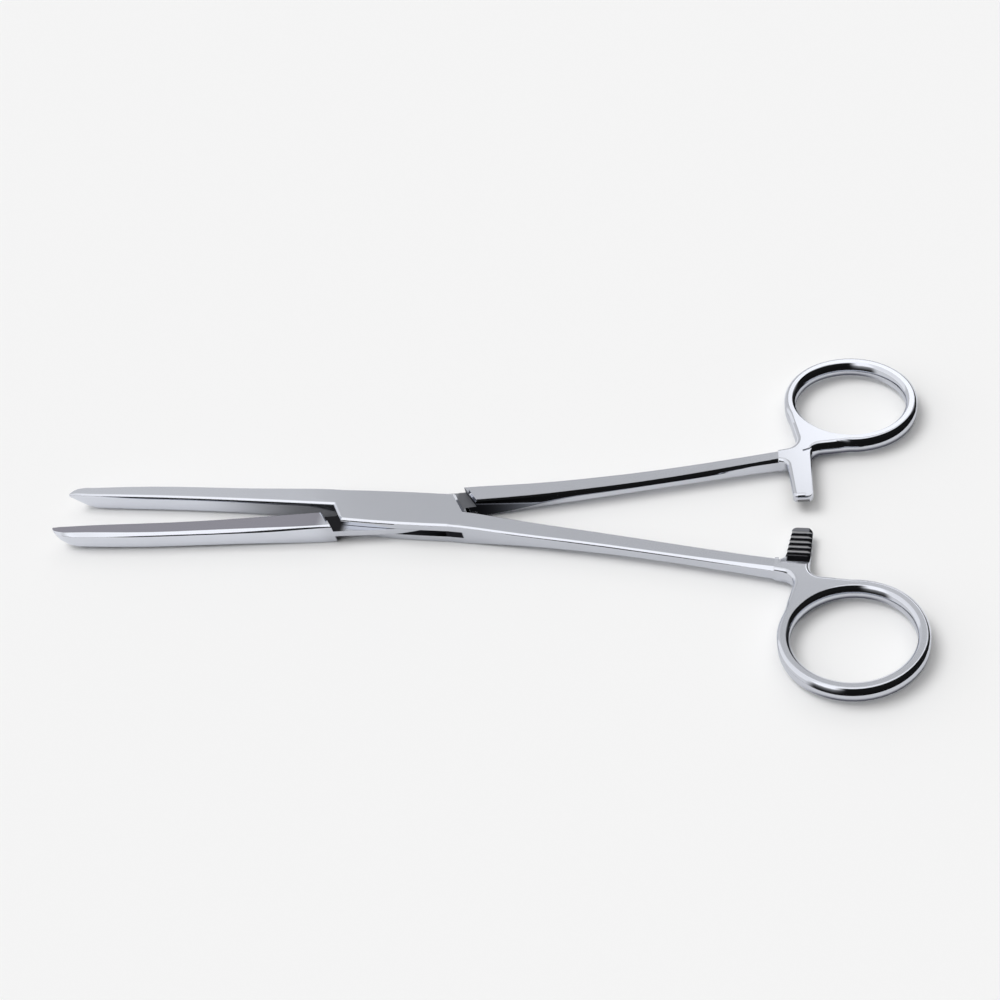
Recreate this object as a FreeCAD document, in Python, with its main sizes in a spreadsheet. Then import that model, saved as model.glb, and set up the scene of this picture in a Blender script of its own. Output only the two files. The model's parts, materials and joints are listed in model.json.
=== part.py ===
import FreeCAD, Part
import math
import os
import Sketcher

# Tissue holding forceps: two stainless forgings that cross in a box lock on one flush rivet.
# The box half carries the pierced box, the far jaw and the near finger ring.
# The tongue half runs through the box and carries the near jaw and the far finger ring.
# Frame: origin on the rivet's axis at the underside of the box, +X towards the rings, +Z up.
# Each half is drawn closed, along X, with its mid plane at zero, and its Placement turns it open.

os.makedirs("parts", exist_ok=True)
doc = FreeCAD.newDocument("TissueForceps")

# The driving dimensions, in millimetres and degrees.
SIZES = [
    ("opening_half_angle", 3.3, "each half stands this far from closed"),
    ("closing_gap", 0.08, "from a closed gripping face to the plane between the jaws"),
    ("jaw_length", 87.3, "from the rivet to the jaws' tips"),
    ("handle_length", 100.95, "from the rivet to the middle of the finger rings, along the forceps"),
    ("ring_spread", 26.15, "from the middle plane to the middle of a finger ring"),
    ("box_thickness", 6.0, "over both plates of the box"),
    ("box_half_width", 4.85, "from the rivet to either side of the box"),
    ("box_front_narrowing", 0.75, "how far the box's near side draws in towards the jaws"),
    ("box_far_narrowing", 0.15, "how far its far side draws in towards the jaws"),
    ("box_back_narrowing", 0.35, "how far its far side draws in towards the rings"),
    ("box_front", 15.85, "from the rivet to the middle of the box's slanted jaw end"),
    ("box_back", 15.85, "from the rivet to the middle of the box's slanted ring end"),
    ("box_end_spare", 0.4, "how far the block runs past its slanted ends before they are cut"),
    ("box_end_slant", 55.0, "between a slanted box end and the forceps' length"),
    ("box_edge_bevel", 0.45, "bevel along the box's long edges"),
    ("box_end_bevel", 0.6, "bevel along the slanted ends' edges"),
    ("slot_height", 1.9, "opening between the two plates"),
    ("slot_wall", 15.7, "from the rivet to the slot's end walls"),
    ("lock_gap", 0.35, "between the tongue's edges and the slot's end walls"),
    ("tongue_play", 0.08, "between the tongue and each plate"),
    ("shoulder_front", 18.4, "from the rivet to the middle of the tongue's jaw shoulder"),
    ("shoulder_back", 18.4, "from the rivet to the middle of the tongue's ring shoulder"),
    ("shoulder_bevel", 0.55, "bevel along the shoulders' edges"),
    ("pin_radius", 1.6, "the rivet's shank"),
    ("pin_head_radius", 2.1, "the rivet's spread ends"),
    ("pin_head_depth", 0.5, "depth of the spread ends' cones"),
    ("pin_play", 0.05, "between the rivet and the tongue's bore"),
    ("jaw_root_station", 14.2, "from the rivet to the jaw's root"),
    ("jaw_root_inset", 0.1, "how far the jaw's outer side lies inside the box's at its root"),
    ("jaw_back_reach", 56.1, "from the tip back to the section behind the middle"),
    ("jaw_middle_reach", 41.3, "from the tip back to the section at the deepest bow"),
    ("jaw_fore_reach", 25.3, "from the tip back to the section ahead of the middle"),
    ("jaw_neck_reach", 13.3, "from the tip back to where the taper quickens"),
    ("nose_start_reach", 6.3, "from the tip back to where the nose starts"),
    ("nose_turn_reach", 3.8, "from the tip back to where its underside lifts"),
    ("nose_brow_reach", 2.0, "from the tip back to where it turns in"),
    ("nose_front_reach", 0.8, "from the tip back to its blunt front"),
    ("jaw_back_width", 4.68, "from the middle plane to the jaw's outer side"),
    ("jaw_middle_width", 4.55, "the same at the middle"),
    ("jaw_fore_width", 4.25, "the same ahead of the middle"),
    ("jaw_neck_width", 3.8, "the same at the neck"),
    ("nose_start_width", 3.35, "the same where the nose starts"),
    ("nose_turn_width", 3.0, "the same where its underside lifts"),
    ("nose_brow_width", 2.5, "the same where it turns in"),
    ("nose_front_width", 1.8, "the same at its blunt front"),
    ("nose_tip_width", 0.85, "the same at the tip"),
    ("jaw_back_bow", 0.33, "hollow of the gripping face behind the middle"),
    ("jaw_middle_bow", 0.5, "hollow of the gripping face at the middle"),
    ("jaw_fore_bow", 0.38, "hollow of the gripping face ahead of the middle"),
    ("jaw_neck_bow", 0.11, "hollow of the gripping face at the neck"),
    ("jaw_back_depth", 5.6, "jaw from its underside to its top"),
    ("jaw_depth", 5.3, "the same from the middle to the neck"),
    ("nose_depth", 5.1, "the same where the nose starts"),
    ("nose_turn_lift", 0.75, "how far the nose's underside has lifted where it starts to"),
    ("nose_brow_lift", 2.1, "the same where it turns in"),
    ("nose_front_lift", 3.2, "the same at its blunt front"),
    ("nose_tip_lift", 3.95, "the same at the tip"),
    ("nose_front_drop", 0.2, "how far the nose's top falls at its blunt front"),
    ("nose_tip_drop", 0.4, "the same at the tip"),
    ("grip_bevel", 0.42, "bevel beside a gripping face and a shank's inner side"),
    ("jaw_root_bevel", 0.5, "bevel along the jaw's outer edges at its root"),
    ("jaw_middle_bevel", 0.65, "the same at the middle"),
    ("jaw_neck_bevel", 0.9, "the same at the neck"),
    ("nose_brow_bevel", 0.55, "bevel of the nose where it turns in"),
    ("nose_front_bevel", 0.35, "the same at its blunt front"),
    ("nose_tip_bevel", 0.18, "the same at the tip"),
    ("shank_root_station", 13.3, "from the rivet to the shank's root"),
    ("shank_shoulder_station", 17.0, "where the shank starts to thin"),
    ("shank_back_station", 23.8, "shank section behind the box"),
    ("shank_mid_station", 39.8, "shank section"),
    ("shank_waist_reach", 42.15, "from the ring's middle back to the shank's thinnest place"),
    ("shank_fore_reach", 27.65, "from the ring's middle back to the section ahead of the handle"),
    ("shank_end_reach", 16.15, "from the ring's middle back to where the shank meets the handle"),
    ("shank_root_inner", 0.25, "from the middle plane to the shank's inner side at its root"),
    ("shank_shoulder_inner", 0.5, "the same where it starts to thin"),
    ("shank_back_inner", 1.1, "the same behind the box"),
    ("shank_mid_inner", 2.75, "the same at the next section"),
    ("shank_waist_inner", 5.0, "the same at the waist"),
    ("shank_fore_inner", 6.95, "the same ahead of the handle"),
    ("shank_end_inner", 8.3, "the same at the handle"),
    ("shank_root_width", 4.7, "shank width at its root"),
    ("shank_shoulder_width", 4.65, "shank width where it starts to thin"),
    ("shank_back_width", 4.45, "shank width behind the box"),
    ("shank_mid_width", 3.85, "shank width at the next section"),
    ("shank_waist_width", 3.4, "shank width at the waist"),
    ("shank_fore_width", 3.25, "shank width ahead of the handle"),
    ("shank_end_width", 3.6, "shank width at the handle"),
    ("shank_root_depth", 6.0, "shank from underside to top at its root"),
    ("shank_shoulder_depth", 5.85, "the same where it starts to thin"),
    ("shank_back_depth", 5.0, "the same behind the box"),
    ("shank_mid_depth", 3.6, "the same at the next section"),
    ("shank_waist_depth", 3.0, "the same at the waist"),
    ("shank_fore_depth", 3.3, "the same ahead of the handle"),
    ("shank_bevel", 0.38, "bevel along the shank's edges"),
    ("shank_fore_bevel", 0.5, "the same ahead of the handle"),
    ("shank_end_bevel", 0.75, "the same at the handle, where it becomes a rounding"),
    ("shank_tuck", 1.2, "how far the shank runs on inside the handle"),
    ("shank_tuck_inset", 0.15, "how far its end lies inside the handle's inner side"),
    ("shank_tuck_thinning", 0.06, "how much thinner its end is than the handle"),
    ("handle_depth", 4.2, "ring and handle from underside to top"),
    ("ring_hole_long", 12.1, "half the ring's opening along its long way"),
    ("ring_hole_short", 10.85, "half the ring's opening across"),
    ("ring_end_radius", 10.1, "curve of the opening's narrow ends"),
    ("ring_rod", 2.3, "width of the ring's rod"),
    ("ring_tilt", 18.6, "how far the ring's long way leans to the middle plane"),
    ("handle_edge_round", 0.85, "rounding of the ring's and handle's outer edges"),
    ("hole_edge_bevel", 0.6, "bevel around the ring's opening"),
    ("neck_corner_reach", 11.55, "from the ring's middle back to where the shank's outer side ends"),
    ("neck_corner_depth", 12.6, "the same corner, from the middle plane"),
    ("neck_foot_reach", 13.55, "from the ring's middle back to where the neck runs into the ring"),
    ("neck_foot_inset", 3.45, "the same place, from the ring's middle towards the middle plane"),
    ("neck_round", 2.6, "hollow between the shank and the ring"),
    ("bar_left_reach", 14.45, "from the ring's middle back to the ratchet bar's root corner"),
    ("bar_tip_left_reach", 13.45, "from the ring's middle back to its tip corner"),
    ("bar_right_reach", 9.25, "from the ring's middle back to the bar's other side"),
    ("bar_root", 8.1, "from the middle plane to the bar's root corner"),
    ("box_bar_reach", 1.1, "how far the box half's bar passes the middle plane"),
    ("tongue_bar_reach", 2.2, "how far the tongue half's bar passes the middle plane"),
    ("bar_tip_round", 1.1, "rounding of the bar's tip corners"),
    ("bar_root_round", 1.6, "hollow between the bar and the shank"),
    ("crook_depth", 12.5, "from the middle plane to the handle's edge beside the bar"),
    ("crook_end_reach", 3.55, "from the ring's middle on to where that edge runs into the ring"),
    ("crook_end_inset", 12.9, "the same place, from the ring's middle towards the middle plane"),
    ("crook_round", 2.4, "hollow between the bar and the ring"),
    ("teeth_gap", 0.12, "between the crests of the two bars' teeth"),
    ("tooth_pitch", 1.29, "from tooth to tooth"),
    ("tooth_height", 0.62, "from root to crest"),
    ("tooth_count", 5.0, "teeth on each bar"),
    ("tooth_land", 1.0, "from the bar's tip to the first tooth"),
    ("tooth_bevel", 0.8, "how far the teeth's ends are bevelled back"),
    ("tooth_bevel_depth", 0.5, "how deep that bevel goes"),
    ("ramp_foot", 6.4, "from the middle plane to where the handle's face slopes down to the teeth"),
    ("ramp_top", 10.1, "from the middle plane to where that slope starts"),
    ("strip_width", 1.7, "width of the lower strip along the tongue half's bar"),
    ("strip_start", 11.1, "from the middle plane to where that strip starts"),
    ("strip_depth", 0.3, "how far the strip lies below the bar's top"),
    ("cutter_spare", 1.0, "how far a cut runs past the face that it opens"),
]

sheet = doc.addObject("Spreadsheet::Sheet", "Sizes")
for row, (alias, value, meaning) in enumerate(SIZES, start=1):
    sheet.set(f"A{row}", meaning)
    sheet.set(f"B{row}", str(value))
    sheet.setAlias(f"B{row}", alias)
doc.recompute()


def size(name):
    """A driving dimension as a number."""
    return float(sheet.get(name))


def cell(name):
    """The same driving dimension as an expression."""
    return f"Sizes.{name}"


class Length:
    """A number and the expression that it comes from, so that sketches start where they end."""

    def __init__(self, value, text):
        self.value = value
        self.text = text

    def __add__(self, other):
        other = as_length(other)
        return Length(self.value + other.value, f"({self.text} + {other.text})")

    def __sub__(self, other):
        other = as_length(other)
        return Length(self.value - other.value, f"({self.text} - {other.text})")

    def __mul__(self, other):
        other = as_length(other)
        return Length(self.value * other.value, f"({self.text} * {other.text})")

    def __truediv__(self, other):
        other = as_length(other)
        return Length(self.value / other.value, f"({self.text} / {other.text})")

    def __neg__(self):
        return Length(-self.value, f"(-1 * {self.text})")


def as_length(number):
    """A plain number as a Length."""
    if isinstance(number, Length):
        return number
    return Length(float(number), repr(float(number)))


class Sizes:
    """Every named size as a Length."""

    def __getattr__(self, name):
        return Length(size(name), cell(name))


S = Sizes()
HALF = 0.5
BOTH_WAYS = 2
FULL_TURN = 360
NEAR = 0.02
TOUCHING = 1e-4
QUARTER_TURN = math.pi / 2
NOTHING = Length(0.0, "0")


def plane(body, role):
    """One of the body's own origin planes."""
    for feature in body.Origin.OriginFeatures:
        if feature.Role == role:
            return feature
    raise ValueError(role)


def new_sketch(body, name, role, offset=None):
    """An empty sketch on one of the body's planes, lifted from it by an offset."""
    sketch = body.newObject("Sketcher::SketchObject", name)
    sketch.AttachmentSupport = [(plane(body, role), "")]
    sketch.MapMode = "FlatFace"
    if offset is not None:
        sketch.AttachmentOffset.Base.z = offset.value
        sketch.setExpression("AttachmentOffset.Base.z", offset.text)
    return sketch


def bind(sketch, kind, length, *where):
    """Adds a dimension to the sketch and ties it to its expression."""
    index = sketch.addConstraint(Sketcher.Constraint(kind, *where, length.value))
    sketch.setExpression(f"Constraints[{index}]", length.text)
    return index


def vector(point):
    """A plane point as a vector."""
    return FreeCAD.Vector(point[0].value, point[1].value, 0)


def polygon(body, name, role, corners, offset=None):
    """A closed outline with straight sides, each corner set by its two distances."""
    sketch = new_sketch(body, name, role, offset)
    count = len(corners)
    for index in range(count):
        start = vector(corners[index])
        end = vector(corners[(index + 1) % count])
        sketch.addGeometry(Part.LineSegment(start, end))
    for index in range(count):
        sketch.addConstraint(Sketcher.Constraint("Coincident", index, 2, (index + 1) % count, 1))
    for index, (across, up) in enumerate(corners):
        bind(sketch, "DistanceX", across, -1, 1, index, 1)
        bind(sketch, "DistanceY", up, -1, 1, index, 1)
    return sketch


def bevelled(body, name, station, low, high, base, top, low_bevel, high_bevel):
    """A cross section that stands across the length: a rectangle with its corners bevelled."""
    corners = [
        (low + low_bevel, base),
        (high - high_bevel, base),
        (high, base + high_bevel),
        (high, top - high_bevel),
        (high - high_bevel, top),
        (low + low_bevel, top),
        (low, top - low_bevel),
        (low, base + low_bevel),
    ]
    return polygon(body, name, "YZ_Plane", corners, station)


def limb_section(body, name, station, side, inner, outer, base, top, inner_bevel, outer_bevel):
    """The section of a jaw or shank that lies on one side of the middle plane."""
    if side > 0:
        return bevelled(body, name, station, inner, outer, base, top, inner_bevel, outer_bevel)
    return bevelled(body, name, station, -outer, -inner, base, top, outer_bevel, inner_bevel)


def loft(body, name, sections):
    """A smooth bar through its cross sections."""
    feature = body.newObject("PartDesign::AdditiveLoft", name)
    feature.Profile = sections[0]
    feature.Sections = sections[1:]
    feature.Ruled = False
    feature.Closed = False
    return feature


def pad(body, name, sketch, height):
    """A plate of the given height about the sketch's plane."""
    feature = body.newObject("PartDesign::Pad", name)
    feature.Profile = sketch
    feature.SideType = "Symmetric"
    feature.setExpression("Length", height.text)
    return feature


def pocket(body, name, sketch, height):
    """A cut of the given height about the sketch's plane."""
    feature = body.newObject("PartDesign::Pocket", name)
    feature.Profile = sketch
    feature.SideType = "Symmetric"
    feature.setExpression("Length", height.text)
    return feature


def oval(body, name, centre, long_half, short_half, end_radius, grow, tilt):
    """A ring outline of four arcs that run smoothly into each other, grown evenly by a distance."""
    sketch = new_sketch(body, name, "XY_Plane")
    run = long_half - end_radius
    spare = short_half - end_radius
    drop = (run * run - spare * spare) / (spare * 2)
    end_size = end_radius + grow
    side_size = short_half + drop + grow
    angle = math.radians(tilt.value)
    ahead = FreeCAD.Vector(math.cos(angle), math.sin(angle), 0)
    aside = FreeCAD.Vector(-ahead.y, ahead.x, 0)
    middle = vector(centre)
    half_turn = math.atan2(drop.value, run.value)
    arcs = [
        (middle + ahead * run.value, end_size, angle, half_turn),
        (middle - aside * drop.value, side_size, angle + QUARTER_TURN, QUARTER_TURN - half_turn),
        (middle - ahead * run.value, end_size, angle + math.pi, half_turn),
        (middle + aside * drop.value, side_size, angle - QUARTER_TURN, QUARTER_TURN - half_turn),
    ]
    for place, radius, direction, spread in arcs:
        circle = Part.Circle(place, FreeCAD.Vector(0, 0, 1), radius.value)
        sketch.addGeometry(Part.ArcOfCircle(circle, direction - spread, direction + spread))
    for index in range(len(arcs)):
        sketch.addConstraint(Sketcher.Constraint("Tangent", index, 2, (index + 1) % len(arcs), 1))
        bind(sketch, "Radius", arcs[index][1], index)
    cosine = Length(math.cos(angle), f"cos({tilt.text} * 1 deg)")
    sine = Length(math.sin(angle), f"sin({tilt.text} * 1 deg)")
    for index, sign in ((0, 1), (2, -1)):
        bind(sketch, "DistanceX", centre[0] + run * cosine * sign, -1, 1, index, 3)
        bind(sketch, "DistanceY", centre[1] + run * sine * sign, -1, 1, index, 3)
    return sketch


def edges_where(shape, test):
    """The names of the edges that pass a test."""
    return [f"Edge{number}" for number, edge in enumerate(shape.Edges, start=1) if test(edge)]


def ease(body, kind, name, amount, test):
    """Rounds or bevels the edges of the body's latest shape that pass a test."""
    doc.recompute()
    base = body.Tip
    names = edges_where(base.Shape, test)
    if not names:
        raise ValueError(f"{name}: no edge to ease")
    feature = body.newObject(f"PartDesign::{kind}", name)
    feature.Base = (base, names)
    feature.setExpression("Radius" if kind == "Fillet" else "Size", amount.text)
    return feature


def is_upright(edge):
    """True for a straight edge along Z."""
    if not isinstance(edge.Curve, Part.Line):
        return False
    run = edge.Vertexes[-1].Point - edge.Vertexes[0].Point
    return abs(run.x) < TOUCHING and abs(run.y) < TOUCHING


def stands_at(*places):
    """A test for an upright edge at one of some plan positions."""

    def test(edge):
        foot = edge.Vertexes[0].Point
        return is_upright(edge) and any(
            abs(foot.x - along.value) < NEAR and abs(foot.y - across.value) < NEAR
            for along, across in places
        )

    return test


def lies_level(edge, height):
    """True for an edge that lies flat at a height, above or below the mid plane."""
    box = edge.BoundBox
    return abs(abs(box.ZMin) - height) < TOUCHING and box.ZMax - box.ZMin < TOUCHING


def slope():
    """Run along the length for each millimetre across it, on a slanted edge of the lock."""
    slant = math.radians(size("box_end_slant"))
    return Length(1 / math.tan(slant), f"(1 / tan({cell('box_end_slant')} * 1 deg))")


def slanted_point(station, across, forward):
    """The point at a height across the length on a slanted line through the station."""
    return station + across * slope() * forward, across


def add_jaw(body, side):
    """The long slim jaw: a hollow-bowed gripping face, a bevelled back and a nose that lifts at the tip."""
    face = S.closing_gap
    sections = []
    for name, reach, bow, width, depth, bevel in (
        ("back", S.jaw_back_reach, S.jaw_back_bow, S.jaw_back_width, S.jaw_back_depth, S.jaw_root_bevel),
        ("middle", S.jaw_middle_reach, S.jaw_middle_bow, S.jaw_middle_width, S.jaw_depth, S.jaw_middle_bevel),
        ("fore", S.jaw_fore_reach, S.jaw_fore_bow, S.jaw_fore_width, S.jaw_depth, S.jaw_middle_bevel),
        ("neck", S.jaw_neck_reach, S.jaw_neck_bow, S.jaw_neck_width, S.jaw_depth, S.jaw_neck_bevel),
        ("end", S.nose_start_reach, NOTHING, S.nose_start_width, S.nose_depth, S.jaw_neck_bevel),
    ):
        sections.append(limb_section(body, f"jaw_{name}", reach - S.jaw_length, side, face + bow, width,
                                     -depth * HALF, depth * HALF, S.grip_bevel, bevel))
    root_outer = S.box_half_width - S.jaw_root_inset
    root_top = S.shank_root_depth * HALF
    root = limb_section(body, "jaw_root", -S.jaw_root_station, side, face, root_outer,
                        -root_top, root_top, S.grip_bevel, S.jaw_root_bevel)
    loft(body, "jaw_bar", [root] + sections)
    nose = []
    for name, reach, width, lift, drop, bevel in (
        ("start", S.nose_start_reach, S.nose_start_width, NOTHING, NOTHING, S.jaw_neck_bevel),
        ("turn", S.nose_turn_reach, S.nose_turn_width, S.nose_turn_lift, NOTHING, S.jaw_middle_bevel),
        ("brow", S.nose_brow_reach, S.nose_brow_width, S.nose_brow_lift, NOTHING, S.nose_brow_bevel),
        ("front", S.nose_front_reach, S.nose_front_width, S.nose_front_lift, S.nose_front_drop,
         S.nose_front_bevel),
        ("tip", NOTHING, S.nose_tip_width, S.nose_tip_lift, S.nose_tip_drop, S.nose_tip_bevel),
    ):
        inner_bevel = bevel if bevel.value < S.grip_bevel.value else S.grip_bevel
        half_depth = S.nose_depth * HALF
        nose.append(limb_section(body, f"nose_{name}", reach - S.jaw_length, side, face, width,
                                 lift - half_depth, half_depth - drop, inner_bevel, bevel))
    loft(body, "nose", nose).Ruled = True


def add_shank(body, side):
    """The shank: deep at the box, thin at the waist and deeper again at the handle."""
    end = S.handle_length - S.shank_end_reach + S.shank_tuck
    end_depth = S.handle_depth - S.shank_tuck_thinning
    end_inner = S.shank_end_inner + S.shank_tuck_inset
    end_outer = S.shank_end_inner + S.shank_end_width
    rows = [
        ("root", S.shank_root_station, S.shank_root_depth, S.shank_bevel),
        ("shoulder", S.shank_shoulder_station, S.shank_shoulder_depth, S.shank_bevel),
        ("back", S.shank_back_station, S.shank_back_depth, S.shank_bevel),
        ("mid", S.shank_mid_station, S.shank_mid_depth, S.shank_bevel),
        ("waist", S.handle_length - S.shank_waist_reach, S.shank_waist_depth, S.shank_bevel),
        ("fore", S.handle_length - S.shank_fore_reach, S.shank_fore_depth, S.shank_fore_bevel),
    ]
    sections = []
    for name, station, depth, bevel in rows:
        inner = getattr(S, f"shank_{name}_inner")
        outer = inner + getattr(S, f"shank_{name}_width")
        sections.append(limb_section(body, f"shank_{name}", station, -side, inner, outer,
                                     -depth * HALF, depth * HALF, bevel, bevel))
    sections.append(limb_section(body, "shank_end", end, -side, end_inner, end_outer,
                                 -end_depth * HALF, end_depth * HALF, S.shank_end_bevel, S.shank_end_bevel))
    loft(body, "shank", sections)


def add_handle(body, side, reach):
    """The finger ring, the web that joins it to the shank, and the ratchet bar's outline."""
    flip = -side
    centre = (S.handle_length, S.ring_spread * flip)
    tilt = S.ring_tilt * side
    shape = (S.ring_hole_long, S.ring_hole_short, S.ring_end_radius)
    outer = oval(body, "ring_outline", centre, *shape, S.ring_rod, tilt)
    pad(body, "ring_disc", outer, S.handle_depth)
    start = S.handle_length - S.shank_end_reach
    bar_right = S.handle_length - S.bar_right_reach
    bar_root = (S.handle_length - S.bar_left_reach, S.bar_root * flip)
    tip_left = (S.handle_length - S.bar_tip_left_reach, reach * side)
    tip_right = (bar_right, reach * side)
    crook = (bar_right, S.crook_depth * flip)
    crook_end = S.handle_length + S.crook_end_reach
    foot_depth = (S.ring_spread - S.neck_foot_inset) * flip
    neck = (S.handle_length - S.neck_corner_reach, S.neck_corner_depth * flip)
    web = polygon(body, "web_outline", "XY_Plane", [
        (start, S.shank_end_inner * flip),
        bar_root,
        tip_left,
        tip_right,
        crook,
        (crook_end, (S.ring_spread - S.crook_end_inset) * flip),
        (crook_end, foot_depth),
        (S.handle_length - S.neck_foot_reach, foot_depth),
        neck,
        (start, (S.shank_end_inner + S.shank_end_width) * flip),
    ])
    pad(body, "web", web, S.handle_depth)
    ease(body, "Fillet", "neck_hollow", S.neck_round, stands_at(neck))
    ease(body, "Fillet", "crook_hollow", S.crook_round, stands_at(crook))
    ease(body, "Fillet", "bar_hollow", S.bar_root_round, stands_at(bar_root))
    ease(body, "Fillet", "bar_tip", S.bar_tip_round, stands_at(tip_left, tip_right))
    hole = oval(body, "ring_hole_outline", centre, *shape, NOTHING, tilt)
    pocket(body, "ring_hole", hole, S.handle_depth + S.cutter_spare)
    level = S.handle_depth.value * HALF
    middle = vector(centre)
    hole_reach = S.ring_hole_long.value + NEAR

    def is_rim(edge):
        return lies_level(edge, level) and edge.BoundBox.XMax > start.value + NEAR

    def bounds_hole(edge):
        return all(vertex.Point.distanceToPoint(middle + FreeCAD.Vector(0, 0, vertex.Z)) < hole_reach
                   for vertex in edge.Vertexes)

    ease(body, "Fillet", "handle_edges", S.handle_edge_round,
         lambda edge: is_rim(edge) and not bounds_hole(edge))
    ease(body, "Chamfer", "hole_edges", S.hole_edge_bevel,
         lambda edge: is_rim(edge) and bounds_hole(edge))


def add_teeth(body, side, reach, upper):
    """Cuts the bar down to its half of the depth, low with teeth up or high with teeth down."""
    flip = -side
    rise = 1 if upper else -1
    crest = S.teeth_gap * HALF * rise
    outside = -S.handle_depth * HALF * rise
    beyond = outside - S.cutter_spare * rise
    tip = (reach + S.cutter_spare) * side
    bar_right = S.handle_length - S.bar_right_reach
    bar_left = S.handle_length - S.bar_left_reach
    middle = (bar_left + bar_right) * HALF
    half_cut = polygon(body, "half_outline", "YZ_Plane", [
        (tip, crest),
        (S.ramp_foot * flip, crest),
        (S.ramp_top * flip, outside),
        (S.ramp_top * flip, beyond),
        (tip, beyond),
    ], middle)
    pocket(body, "half", half_cut, bar_right - bar_left + S.cutter_spare * BOTH_WAYS)
    bevel = polygon(body, "tooth_bevel_outline", "XZ_Plane", [
        (bar_right - S.tooth_bevel, crest),
        (bar_right + S.cutter_spare, crest),
        (bar_right + S.cutter_spare, crest + S.tooth_bevel_depth * rise),
        (bar_right, crest + S.tooth_bevel_depth * rise),
    ])
    pocket(body, "tooth_bevel", bevel, S.ramp_foot * BOTH_WAYS)
    # One saw tooth is a steep wall towards the root and a long slope towards the tip.
    first = (reach - S.tooth_land) * side
    root = crest + S.tooth_height * rise
    over = crest - S.teeth_gap * HALF * rise
    cut = polygon(body, "tooth_outline", "YZ_Plane", [
        (first, over),
        (first, root),
        (first - S.tooth_pitch * side, over),
    ], middle)
    tooth_cut = pocket(body, "tooth", cut, bar_right - bar_left + S.cutter_spare * BOTH_WAYS)
    doc.recompute()
    row = body.newObject("PartDesign::LinearPattern", "teeth")
    row.Originals = [tooth_cut]
    row.Direction = (plane(body, "Y_Axis"), [""])
    row.Reversed = side > 0
    row.setExpression("Length", (S.tooth_pitch * (S.tooth_count - 1)).text)
    row.Occurrences = int(size("tooth_count"))
    row.setExpression("Occurrences", cell("tooth_count"))
    body.Tip = row


def add_strip(body, side, reach):
    """The lower strip along the outside of the tongue half's bar."""
    flip = -side
    bar_right = S.handle_length - S.bar_right_reach
    ridge = bar_right - S.strip_width
    out = bar_right + S.cutter_spare
    tip = (reach + S.cutter_spare) * side
    outline = polygon(body, "strip_outline", "XY_Plane", [
        (ridge, S.strip_start * flip),
        (ridge, tip),
        (out, tip),
        (out, (S.strip_start + S.strip_width * HALF) * flip),
    ], S.handle_depth * HALF)
    pocket(body, "strip", outline, S.strip_depth * BOTH_WAYS)


def new_half(label):
    """An empty body for one half."""
    body = doc.addObject("PartDesign::Body", label)
    body.Label = label
    return body


def place_half(body, turn):
    """Lifts a half onto the box's underside and turns it open about the rivet."""
    axis = FreeCAD.Vector(0, 0, 1)
    angle = size("opening_half_angle") * turn
    lift = FreeCAD.Vector(0, 0, size("box_thickness") * HALF)
    body.Placement = FreeCAD.Placement(lift, FreeCAD.Rotation(axis, angle))
    body.setExpression("Placement.Base.z", f"{cell('box_thickness')} * {HALF}")
    body.setExpression("Placement.Rotation.Angle", f"{cell('opening_half_angle')} * 1 deg")
    body.Placement.Rotation.Axis = FreeCAD.Vector(0, 0, turn)


def block_sections(body, side):
    """Three sections of the pierced box's block, or of the tongue before its faces are cut down."""
    rows = [
        ("front", -S.box_front - S.box_end_spare, S.box_half_width - S.box_far_narrowing,
         S.box_half_width - S.box_front_narrowing),
        ("middle", NOTHING, S.box_half_width, S.box_half_width),
        ("back", S.box_back + S.box_end_spare, S.box_half_width - S.box_back_narrowing, S.box_half_width),
    ]
    top = S.box_thickness * HALF
    made = []
    for name, station, far, near in rows:
        low, high = (-near, far) if side > 0 else (-far, near)
        made.append(bevelled(body, f"block_{name}", station, low, high, -top, top,
                             S.box_edge_bevel, S.box_edge_bevel))
    return made


def cut_beyond(body, name, station, forward, low, high):
    """Cuts away everything outward of a slanted line, between two distances across the length."""
    out = (S.box_front + S.box_back) * (1 if station.value > 0 else -1)
    outline = polygon(body, f"{name}_outline", "XY_Plane", [
        slanted_point(station, low, forward),
        slanted_point(station, high, forward),
        (station + out, high),
        (station + out, low),
    ])
    pocket(body, name, outline, S.box_thickness + S.cutter_spare)


def cut_box_ends(body):
    """The two slanted ends of the box, where the tongue comes out."""
    reach = S.box_half_width + S.cutter_spare
    cut_beyond(body, "front_end", -S.box_front, -1, -reach, reach)
    cut_beyond(body, "back_end", S.box_back, -1, -reach, reach)


def is_slanted_rim(edge):
    """True for the top and bottom edges of the box's slanted ends."""
    if not lies_level(edge, size("box_thickness") * HALF):
        return False
    run = edge.Vertexes[-1].Point - edge.Vertexes[0].Point
    return abs(run.y) > size("box_half_width") * HALF and abs(run.x) > size("box_half_width") * HALF


def is_shoulder_rim(edge):
    """True for the top and bottom edges of the tongue half's slanted shoulders."""
    lean = slope().value
    for vertex in edge.Vertexes:
        place = vertex.Point
        along = place.x + place.y * lean
        shoulder = size("shoulder_back") if along > 0 else -size("shoulder_front")
        if abs(along - shoulder) > NEAR or abs(place.z) < size("jaw_depth") * HALF:
            return False
    return abs(edge.Vertexes[-1].Point.y - edge.Vertexes[0].Point.y) > size("jaw_neck_width") * HALF


def add_slot(body):
    """The slot that the tongue runs through, closed by a slanted wall at each end."""
    out = S.box_half_width + S.cutter_spare
    edge = S.shoulder_back + S.cutter_spare
    level = (edge - S.slot_wall) / slope()
    outline = polygon(body, "slot_outline", "XY_Plane", [
        slanted_point(-S.slot_wall, out, 1),
        (edge, out),
        (edge, level),
        slanted_point(S.slot_wall, -out, 1),
        (-edge, -out),
        (-edge, -level),
    ])
    pocket(body, "slot", outline, S.slot_height)


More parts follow.
